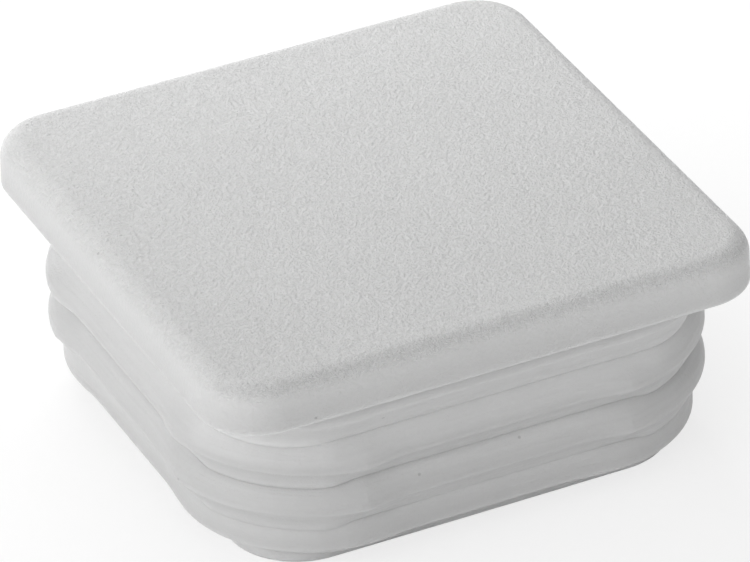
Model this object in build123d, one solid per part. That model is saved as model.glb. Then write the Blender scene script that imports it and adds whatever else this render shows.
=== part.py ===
from build123d import *
import math
import os

# End cap for a square tube, moulded in one piece: a square head plate that
# closes the tube, and below it a hollow square skirt that carries four soft
# rounded fins.  The fins grip the inside of the tube and hold the cap.
#
# Millimetres.  +Z up, the head on top.  The origin is the centre of the lower
# rim, so the skirt stands on Z = 0.  X and Y run along the sides.
# "half" is half the width across flats of a rounded square.

# ---- overall --------------------------------------------------------------
height = 21.40           # lower rim to top of head

# ---- head plate -----------------------------------------------------------
head_half = 25.00        # at its lower edge; covers the end of a 50 x 50 tube
head_radius = 5.27       # plan radius of its corners
head_thick = 4.25
head_draft = 0.12        # the head is this much smaller, per side, at the top
head_round = 1.80        # rounding of the top edge
head_edge = 0.10         # break on the lower edge

# ---- skirt ----------------------------------------------------------------
skirt_half_top = 20.52   # mid-side, under the head
skirt_half_low = 20.28   # mid-side, at the lower rim
skirt_radius = 6.45      # plan radius of its corners
skirt_bow_top = 500.0    # the sides bulge slightly: plan radius of the bulge
skirt_bow_low = 2500.0
skirt_wall = 1.90
skirt_edge = 0.30        # rounding of the lower rim, outside and inside

roof_thick = 3.20        # head material left above the hollow
cavity_draft = 0.25      # the hollow narrows by this much, per side, upwards
cavity_round = 1.20      # rounding where the walls meet the roof

# ---- fins, from the top down ----------------------------------------------
# In section the fins are a run of soft waves.  Each fin bulges from the crease
# above it down to a blunt nose, and undercuts to the next crease.
nose_drop = [6.12, 10.45, 14.52, 18.66]     # top of head down to each nose
fin_side = [23.45, 23.85, 23.85, 22.85]     # half width along the sides
fin_lobe_c = [12.70, 10.50, 10.50, 11.33]   # corner lobe: arc centre at (c, c)
fin_lobe_r = [10.75, 13.94, 13.94, 11.76]   # and its radius
step_from = [9.00, 8.20, 8.20, 7.00]        # a side swells out to its lobes
step_to = [12.20, 12.20, 12.20, 11.00]      # over this stretch
lobe_drop = 0.08         # the noses dip by this much on the lobes

# crease under each nose: depth behind it, and drop below it
side_crease = [(1.30, 2.40), (1.16, 1.91), (1.16, 1.91), (2.57, 2.10)]
turn_crease = [(1.30, 2.36), (1.70, 1.88), (1.70, 1.88), (2.57, 2.10)]
lobe_crease = [(1.08, 2.60), (1.20, 2.25), (1.20, 2.25), (2.57, 2.10)]
turn_angle = 22.0        # a lobe's crease settles over this much of its arc
nose_round = 0.40        # radius of the nose
leave_angle = 38.0       # slope of the bulge where it leaves the crease
overlap = 0.45           # undercut and bulge run on past their crease


def ring(half, radius, bow, z):
    """Closed rounded square in the plane Z = z, sides bulging to radius bow."""
    s = (half - bow) / ((bow - radius) * math.sqrt(2.0))
    ang = math.radians(45.0) + math.asin(s)
    cx = half - bow                               # centre of the +X side's arc
    side = (cx + bow * math.cos(ang), bow * math.sin(ang))
    c = (bow - radius) * math.sin(ang)            # corner centre is (c, c)
    diag = c + radius * math.sqrt(0.5)
    edges = []
    for k in range(4):
        co, si = (1, 0, -1, 0)[k], (0, 1, 0, -1)[k]

        def turn(x, y):
            return (co * x - si * y, si * x + co * y, z)

        edges.append(ThreePointArc(turn(side[0], -side[1]), turn(half, 0.0),
                                   turn(side[0], side[1])))
        edges.append(ThreePointArc(turn(side[0], side[1]), turn(diag, diag),
                                   turn(side[1], side[0])))
    return Face(Wire(edges))


def skirt_at(z):
    """Half width, corner radius and bow of the outside of the skirt at z."""
    f = z / (height - head_thick)
    half = skirt_half_low + (skirt_half_top - skirt_half_low) * f
    curve = 1.0 / skirt_bow_low + (1.0 / skirt_bow_top - 1.0 / skirt_bow_low) * f
    return half, skirt_radius, 1.0 / curve


# ---- head: drafted plate with a rounded top edge --------------------------
head_low = height - head_thick
head = loft([
    ring(head_half, head_radius, 1.0e5, head_low),
    ring(head_half - head_draft, head_radius - head_draft, 1.0e5, height),
], ruled=True)
top_edges = head.edges().filter_by_position(Axis.Z, height - 0.01, height + 0.01)
head = fillet(top_edges, head_round)
low_edges = head.edges().filter_by_position(Axis.Z, head_low - 0.01, head_low + 0.01)
head = fillet(low_edges, head_edge)

# ---- skirt: drafted rounded square, its rim eased -------------------------
skirt = loft([ring(*skirt_at(0.0), 0.0), ring(*skirt_at(head_low), head_low)],
             ruled=True)
skirt = fillet(skirt.edges().filter_by_position(Axis.Z, -0.01, 0.01), skirt_edge)


# ---- fins -----------------------------------------------------------------
back_half = 19.60        # the fins reach this far into the wall


def section(rim, above, below, back, nose, centre, toward):
    """Cross-section of a fin as a face in the upright plane that starts from
    the point centre (x, y) and runs outward along toward (x, y).  rim is the
    reach of the nose, at height nose.  above and below give the two creases
    as (depth behind the nose, height over or under it), and back is the reach
    of the hidden back."""
    r = nose_round
    leave = math.radians(leave_angle)
    depth, rise = above
    foot = (rim - below[0], -below[1])
    # the undercut runs from the lower crease, tangent to the nose
    dx, dz = (rim - r) - foot[0], -foot[1]
    far = math.hypot(dx, dz)
    under = math.atan2(dz, dx) - math.asin(r / far)
    end = (rim - r + r * math.sin(under), -r * math.cos(under))
    half_a = 0.5 * (math.pi / 2 - under)
    mid = (rim - r + r * math.cos(half_a), -r * math.sin(half_a))
    crease = (rim - depth, rise)
    tip = (crease[0] - overlap * math.cos(leave),
           crease[1] + overlap * math.sin(leave))
    toe = (foot[0] - overlap * math.cos(under),
           foot[1] - overlap * math.sin(under))

    def at(p):
        return (centre[0] + toward[0] * p[0], centre[1] + toward[1] * p[0],
                nose + p[1])

    edges = [
        Line(at((back, tip[1])), at(tip)),
        Line(at(tip), at(crease)),
        Bezier(at(crease),
               at((crease[0] + min(0.40 * rise * math.cos(leave), 0.75 * depth),
                   crease[1] - 0.40 * rise * math.sin(leave))),
               at((rim, 0.50 * rise)), at((rim, 0.0))),
        ThreePointArc(at((rim, 0.0)), at(mid), at(end)),
        Line(at(end), at(toe)),
        Line(at(toe), at((back, toe[1]))),
        Line(at((back, toe[1])), at((back, tip[1]))),
    ]
    return Face(Wire(edges))


def blend(a, b, f):
    return a + (b - a) * f


def fin(index):
    """The pieces of one fin: straight sides, corner lobes and the stretches
    where a side swells out to its lobes."""
    side, c, r = fin_side[index], fin_lobe_c[index], fin_lobe_r[index]
    t0, t1 = step_from[index], step_to[index]
    nose = height - nose_drop[index]
    last = index - 1
    first = math.degrees(math.asin((t1 - c) / r)) if t1 > c else 0.0
    reach = c + r * math.cos(math.radians(first))     # where the lobe starts

    def creases(table, out, out_above):
        """Creases above and below a nose of reach out, under one of reach
        out_above."""
        below = table[index]
        if index:
            gap = nose_drop[index] - nose_drop[last]
            return ((out - out_above + table[last][0], gap - table[last][1]),
                    below)
        up = nose_drop[0] - head_thick + 0.40
        return (below[0], up), below

    def start_reach(k):
        lift = max(step_to[k] - fin_lobe_c[k], 0.0)
        return fin_lobe_c[k] + math.sqrt(fin_lobe_r[k] ** 2 - lift ** 2)

    def diagonal(k):
        return fin_lobe_c[k] * math.sqrt(2.0) + fin_lobe_r[k]

    on_side = creases(side_crease, side, fin_side[last])
    on_turn = creases(turn_crease, reach, start_reach(last))
    on_lobe = creases(lobe_crease, diagonal(index), diagonal(last))

    def mix(a, b, f):
        return tuple(tuple(blend(u, v, f) for u, v in zip(p, q))
                     for p, q in zip(a, b))

    def across(t, f, s):
        """Section across the side at the distance t from its middle."""
        above, below = mix(on_side, on_turn, f)
        return section(blend(side, reach, f), above, below, back_half,
                       nose - lobe_drop * f, (0, s * t), (1, 0))

    def around(angle, f, s):
        """Section across the lobe, angle degrees round from the side."""
        above, below = mix(on_turn, on_lobe, f)
        co = math.cos(math.radians(angle))
        si = math.sin(math.radians(angle))
        return section(r, above, below, (back_half - c) * blend(1, 0.85, f),
                       nose - lobe_drop, (c, s * c), (co, s * si))

    pieces = [extrude(across(t0, 0.0, -1), 2 * t0, dir=(0, 1, 0))]
    for s in (1, -1):                             # the two ends of the side
        cuts = [across(t0, 0.0, s),
                across(t0 + (t1 - t0) / 3.0, 7.0 / 27.0, s),
                across(t0 + (t1 - t0) / 1.5, 20.0 / 27.0, s)]
        if t1 < c:                                # the lobe starts straight
            cuts.append(across(t1, 1.0, s))
            pieces.append(extrude(across(t1, 1.0, s), c - t1, dir=(0, s, 0)))
        else:
            cuts.append(around(first, 0.0, s))
        pieces += [loft([p, q], ruled=True) for p, q in zip(cuts, cuts[1:])]
        turn = [around(blend(first, turn_angle, k / 4.0),
                       (k / 4.0) ** 2 * (3.0 - 0.5 * k), s) for k in range(5)]
        pieces += [loft([p, q], ruled=True) for p, q in zip(turn, turn[1:])]
    pieces.append(revolve(around(turn_angle, 1.0, 1),
                          Axis((c, c, 0), (0, 0, 1)), 90.0 - 2 * turn_angle))
    return [Rot(0, 0, 90 * k) * p for k in range(4) for p in pieces]


cap = head + skirt
for i in range(len(fin_side)):
    cap = cap + fin(i)

# ---- hollow, open at the bottom -------------------------------------------
cav_low = skirt_half_low - skirt_wall
cav_rad = skirt_radius - skirt_wall
cavity = loft([
    ring(cav_low, cav_rad, 1.0e5, -1.0),
    ring(cav_low - cavity_draft, cav_rad - cavity_draft, 1.0e5,
         height - roof_thick),
], ruled=True)
roof = cavity.edges().filter_by_position(Axis.Z, height - roof_thick - 0.01,
                                         height - roof_thick + 0.01)
cavity = fillet(roof, cavity_round)
cap -= cavity

mouth = [e for e in cap.edges().filter_by_position(Axis.Z, -0.01, 0.01)
         if max(abs((e @ 0.5).X), abs((e @ 0.5).Y)) < cav_low + 0.3]
cap = fillet(mouth, skirt_edge)

solids = cap.solids()
end_cap = solids.sort_by(SortBy.VOLUME)[-1]
end_cap.label = "end_cap"

os.makedirs("parts", exist_ok=True)
export_step(end_cap, "parts/end_cap.step")
print("solids", len(solids), "volume mm3", round(end_cap.volume, 1),
      "valid", end_cap.is_valid)
bb = end_cap.bounding_box()
print("size", [round(v, 3) for v in (bb.size.X, bb.size.Y, bb.size.Z)],
      "low", round(bb.min.Z, 4))
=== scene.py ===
import bpy, math
from mathutils import Matrix, Vector

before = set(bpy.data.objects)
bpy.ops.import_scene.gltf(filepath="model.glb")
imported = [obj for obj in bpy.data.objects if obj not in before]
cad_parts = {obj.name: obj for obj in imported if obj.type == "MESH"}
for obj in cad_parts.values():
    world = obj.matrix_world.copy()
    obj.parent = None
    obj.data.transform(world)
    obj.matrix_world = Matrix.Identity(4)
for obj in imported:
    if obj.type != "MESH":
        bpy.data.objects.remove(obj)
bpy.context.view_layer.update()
scene = bpy.context.scene
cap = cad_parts["end_cap"]

# ---------------------------------------------------------------- camera
az, el, roll = (math.radians(v) for v in (24.7522, 32.3409, -2.0166))
back = Vector((-math.sin(az) * math.cos(el), -math.cos(az) * math.cos(el), math.sin(el)))
side = Vector((math.cos(az), -math.sin(az), 0.0))
up = back.cross(side)
right = math.cos(roll) * side + math.sin(roll) * up
top = -math.sin(roll) * side + math.cos(roll) * up
cam_data = bpy.data.cameras.new("camera")
cam_data.sensor_fit = "HORIZONTAL"
cam_data.sensor_width = 36.0
cam_data.lens = 340.695
cam_data.clip_start = 0.01
cam_data.clip_end = 20.0
cam = bpy.data.objects.new("camera", cam_data)
m = Matrix((right, top, back)).transposed().to_4x4()
m.translation = Vector((-0.212648, -0.461749, 0.333561))
cam.matrix_world = m
scene.collection.objects.link(cam)
scene.camera = cam

scene.view_settings.view_transform = "Standard"
scene.view_settings.look = "None"

# ---------------------------------------------------------------- node help


class Nodes:
    """Small helper that adds nodes to a tree and wires them."""

    def __init__(self, tree):
        self.tree = tree

    def put(self, kind, inputs=None, **settings):
        node = self.tree.nodes.new(kind)
        for name, value in settings.items():
            setattr(node, name, value)
        for name, value in (inputs or {}).items():
            if isinstance(value, bpy.types.NodeSocket):
                self.tree.links.new(value, node.inputs[name])
            else:
                node.inputs[name].default_value = value
        return node

    def math(self, operation, a, b=0.0, clamp=False):
        node = self.put("ShaderNodeMath", {0: a, 1: b}, operation=operation)
        node.use_clamp = clamp
        return node.outputs[0]

    def smooth(self, value, low, high, out_low=0.0, out_high=1.0):
        """Smooth step of value from low to high."""
        node = self.put("ShaderNodeMapRange",
                        {"Value": value, "From Min": low, "From Max": high,
                         "To Min": out_low, "To Max": out_high},
                        interpolation_type="SMOOTHSTEP")
        return node.outputs["Result"]

    def noise(self, vector, scale, detail=2.0, roughness=0.5):
        return self.put("ShaderNodeTexNoise",
                        {"Vector": vector, "Scale": scale, "Detail": detail,
                         "Roughness": roughness}).outputs[0]


# ---------------------------------------------------------------- light
# A big soft source from the left, a little fill from the front left and an even
# glow all round.
LIGHTS = [  # elevation, azimuth from +Y towards +X, sharpness, strength
    (24.0, 255.0, 4.0, 1.63),
    (6.0, 212.0, 2.6, 0.38),
]
GLOW = 0.36
world = bpy.data.worlds.new("studio")
world.use_nodes = True
w = Nodes(world.node_tree)
background = world.node_tree.nodes["Background"]
background.inputs["Color"].default_value = (1, 1, 1, 1)
direction = w.put("ShaderNodeVectorMath",
                  {0: w.put("ShaderNodeTexCoord").outputs["Generated"]},
                  operation="NORMALIZE").outputs[0]
total = None
for light_el, light_az, sharp, strength in LIGHTS:
    e, a = math.radians(light_el), math.radians(light_az)
    aim = (math.cos(e) * math.sin(a), math.cos(e) * math.cos(a), math.sin(e))
    dot = w.put("ShaderNodeVectorMath", {0: direction, 1: aim},
                operation="DOT_PRODUCT").outputs["Value"]
    fall = w.math("EXPONENT", w.math("MULTIPLY", w.math("SUBTRACT", dot, 1.0), sharp))
    part = w.math("MULTIPLY", fall, strength)
    total = part if total is None else w.math("ADD", total, part)
world.node_tree.links.new(w.math("ADD", total, GLOW), background.inputs["Strength"])
scene.world = world

# a small softbox close behind, whose light falls off towards the front corner
box_data = bpy.data.lights.new("softbox", "AREA")
box_data.shape = "RECTANGLE"
box_data.size, box_data.size_y = 0.12, 0.10
box_data.energy = 0.20
softbox = bpy.data.objects.new("softbox", box_data)
box_at = Vector((0.010, 0.135, 0.130))
softbox.location = box_at
softbox.rotation_euler = (Vector((0.0, 0.0, 0.02)) - box_at).to_track_quat("-Z", "Y").to_euler()
softbox.visible_camera = False
scene.collection.objects.link(softbox)

# ---------------------------------------------------------------- floor
bpy.ops.mesh.primitive_plane_add(size=6.0, location=(0, 0, -0.00002))
floor = bpy.context.object
floor.name = "floor"
paper = bpy.data.materials.new("floor_paper")
paper.use_nodes = True
p = Nodes(paper.node_tree)
sheet = paper.node_tree.nodes["Principled BSDF"]
sheet.inputs["Roughness"].default_value = 0.9
sheet.inputs["Specular IOR Level"].default_value = 0.0
place = p.put("ShaderNodeTexCoord").outputs["Object"]
fibre = p.noise(place, 900.0, 3.0)
tone = p.smooth(fibre, 0.3, 0.7, 0.925, 0.935)
paper.node_tree.links.new(
    p.put("ShaderNodeCombineColor", {0: tone, 1: tone, 2: tone}).outputs[0],
    sheet.inputs["Base Color"])
# seen directly the paper is nearly burnt out, as on a light table; what it
# bounces onto the part is plain white paper's share
burnt = p.put("ShaderNodeEmission", {"Color": (1, 1, 1, 1), "Strength": 1.0})
seen = p.math("MULTIPLY", p.put("ShaderNodeLightPath").outputs["Is Camera Ray"], 0.72)
mixed = p.put("ShaderNodeMixShader", {0: seen, 1: sheet.outputs[0], 2: burnt.outputs[0]})
paper.node_tree.links.new(mixed.outputs[0],
                          paper.node_tree.nodes["Material Output"].inputs["Surface"])
floor.data.materials.append(paper)

# ---------------------------------------------------------------- plastic
# Light grey polyethylene.  The head comes from a spark-eroded mould, so its
# top is finely grained and the grain fades over the rounded edge; skirt and
# fins come from a smoother mould and are satin.  Object coordinates are in
# metres, with z running from the lower rim (0) to the top (0.0214).
mat = bpy.data.materials.new("cap_plastic")
mat.use_nodes = True
n = Nodes(mat.node_tree)
link = mat.node_tree.links.new
bsdf = mat.node_tree.nodes["Principled BSDF"]
spot = n.put("ShaderNodeTexCoord").outputs["Object"]
split = n.put("ShaderNodeSeparateXYZ", {0: spot})
height = split.outputs["Z"]

on_top = n.smooth(height, 0.01955, 0.02130)       # 1 on the flat of the head
on_head = n.smooth(height, 0.01690, 0.01730)      # 1 on all of the head

# painted light and shade by height on fins and head: noses and undercuts a little darker
# (painted shade), creases a little lighter (painted light standing in for light seeping through
# and cancelling their shade), the head's lower edge darker (painted shade), the head's upper
# side a little lighter (painted light)
PAINTED_LIGHT_SHADE_BY_HEIGHT = [  # height in mm, tone
    (0.0, 1.02), (0.9, 1.00), (2.0, 0.92), (2.74, 0.86), (3.4, 0.87),
    (4.4, 0.94), (4.9, 1.01), (5.4, 0.95), (6.5, 0.85), (6.9, 0.84),
    (7.2, 0.84), (8.0, 0.91), (8.6, 1.02), (9.0, 1.09), (9.5, 0.98),
    (10.5, 0.87), (10.9, 0.85), (11.2, 0.86), (11.9, 1.04), (12.4, 1.16),
    (12.9, 1.24), (13.3, 1.12), (14.0, 1.03), (16.9, 1.0), (17.3, 0.87),
    (17.7, 0.93), (18.6, 0.99), (19.6, 1.02), (20.5, 1.02), (21.3, 0.96)]
band = n.put("ShaderNodeValToRGB",
             {0: n.math("DIVIDE", height, 0.0214, clamp=True)})
ramp = band.color_ramp
ramp.interpolation = "LINEAR"
while len(ramp.elements) < len(PAINTED_LIGHT_SHADE_BY_HEIGHT):
    ramp.elements.new(0.5)
for stop, (mm, tone) in zip(ramp.elements, PAINTED_LIGHT_SHADE_BY_HEIGHT):
    stop.position = min(mm / 21.4, 1.0)
for stop, (mm, tone) in zip(ramp.elements, PAINTED_LIGHT_SHADE_BY_HEIGHT):
    grey = tone * 0.5
    stop.color = (grey, grey, grey, 1.0)
# the painted light and shade goes on the outside only: the hollow is one plain tone
ax = n.math("ABSOLUTE", split.outputs["X"])
ay = n.math("ABSOLUTE", split.outputs["Y"])
reach = n.math("MAXIMUM", n.math("MAXIMUM", ax, ay),
               n.math("MULTIPLY", n.math("ADD", ax, ay), 0.545))
outside = n.math("MAXIMUM", n.smooth(reach, 0.0190, 0.0198),
                 n.smooth(height, 0.0188, 0.0194))
# tone of the painted light and shade by height, 1 in the hollow
painted_light_shade_tone = n.math("ADD", 1.0, n.math("MULTIPLY", outside,
                   n.math("SUBTRACT", n.math("MULTIPLY", band.outputs[0], 2.0), 1.0)))

# grain of the head and the finer texture of the sides
coarse = n.noise(spot, 3000.0, 1.0, 0.5)
fine = n.noise(spot, 6800.0, 0.0, 0.5)
grain = n.math("ADD", n.math("MULTIPLY", coarse, 0.62), n.math("MULTIPLY", fine, 0.38))
grain_depth = n.math("ADD", n.smooth(on_top, 0.0, 1.0, 0.16, 1.0),
                     n.math("MULTIPLY", on_head, 0.16))

# slow mottling of the flow of plastic, and fine drag lines along the skirt
cloud = n.noise(spot, 120.0, 3.0, 0.5)
streak_at = n.put("ShaderNodeVectorMath",
                  {0: spot, 1: (90.0, 90.0, 2600.0)}, operation="MULTIPLY").outputs[0]
streak = n.noise(streak_at, 1.0, 2.0, 0.5)
streak_in = n.math("SUBTRACT", 1.0, on_head)

# rare dark specks of burnt pigment
cell = n.put("ShaderNodeTexVoronoi", {"Vector": spot, "Scale": 420.0, "Randomness": 1.0},
             feature="F1")
pick = n.put("ShaderNodeSeparateColor", {0: cell.outputs["Color"]}).outputs[0]
speck = n.math("MULTIPLY",
               n.smooth(cell.outputs["Distance"], 0.035, 0.075, 1.0, 0.0),
               n.math("GREATER_THAN", pick, 0.76))

# colour
tone = n.math("ADD", 1.0, n.math("MULTIPLY", n.math("SUBTRACT", cloud, 0.5), 0.045))
tone = n.math("ADD", tone, n.math("MULTIPLY",
              n.math("MULTIPLY", n.math("SUBTRACT", grain, 0.5), grain_depth), 0.26))
tone = n.math("ADD", tone, n.math("MULTIPLY",
              n.math("MULTIPLY", n.math("SUBTRACT", streak, 0.5), streak_in), 0.020))
# the painted light and shade by height goes into the colour here
tone = n.math("MULTIPLY", tone, painted_light_shade_tone)
tone = n.math("MULTIPLY", tone, n.math("SUBTRACT", 1.0, n.math("MULTIPLY", speck, 0.24)))
BASE = (0.610, 0.610, 0.610)
colour = n.put("ShaderNodeVectorMath", {0: BASE, 3: tone}, operation="SCALE").outputs[0]
link(colour, bsdf.inputs["Base Color"])

# gloss: matt on the grained head, satin on the sides, cloudy with handling
rough = n.math("ADD", n.smooth(on_top, 0.0, 1.0, 0.46, 0.58),
               n.math("MULTIPLY", n.math("SUBTRACT", cloud, 0.5), 0.16))
rough = n.math("ADD", rough, n.math("MULTIPLY", n.math("SUBTRACT", grain, 0.5), 0.22))
link(rough, bsdf.inputs["Roughness"])
bsdf.inputs["IOR"].default_value = 1.50
bsdf.inputs["Specular IOR Level"].default_value = 0.35

# relief: grain, mottling and drag lines
relief = n.math("MULTIPLY", grain, grain_depth)
relief = n.math("ADD", relief, n.math("MULTIPLY", n.math("MULTIPLY", streak, streak_in), 0.35))
relief = n.math("SUBTRACT", relief, n.math("MULTIPLY", speck, 0.08))
bump_fine = n.put("ShaderNodeBump", {"Height": relief, "Strength": 1.0,
                                     "Distance": 0.00031})
bump = n.put("ShaderNodeBump", {"Height": cloud, "Strength": 1.0, "Distance": 0.00006,
                                "Normal": bump_fine.outputs[0]})
link(bump.outputs[0], bsdf.inputs["Normal"])

# light seeps into the plastic
bsdf.subsurface_method = "RANDOM_WALK"
bsdf.inputs["Subsurface Weight"].default_value = 1.0
bsdf.inputs["Subsurface Radius"].default_value = (1.0, 1.0, 1.0)
bsdf.inputs["Subsurface Scale"].default_value = 0.0016

for slot in cap.material_slots:
    slot.material = mat
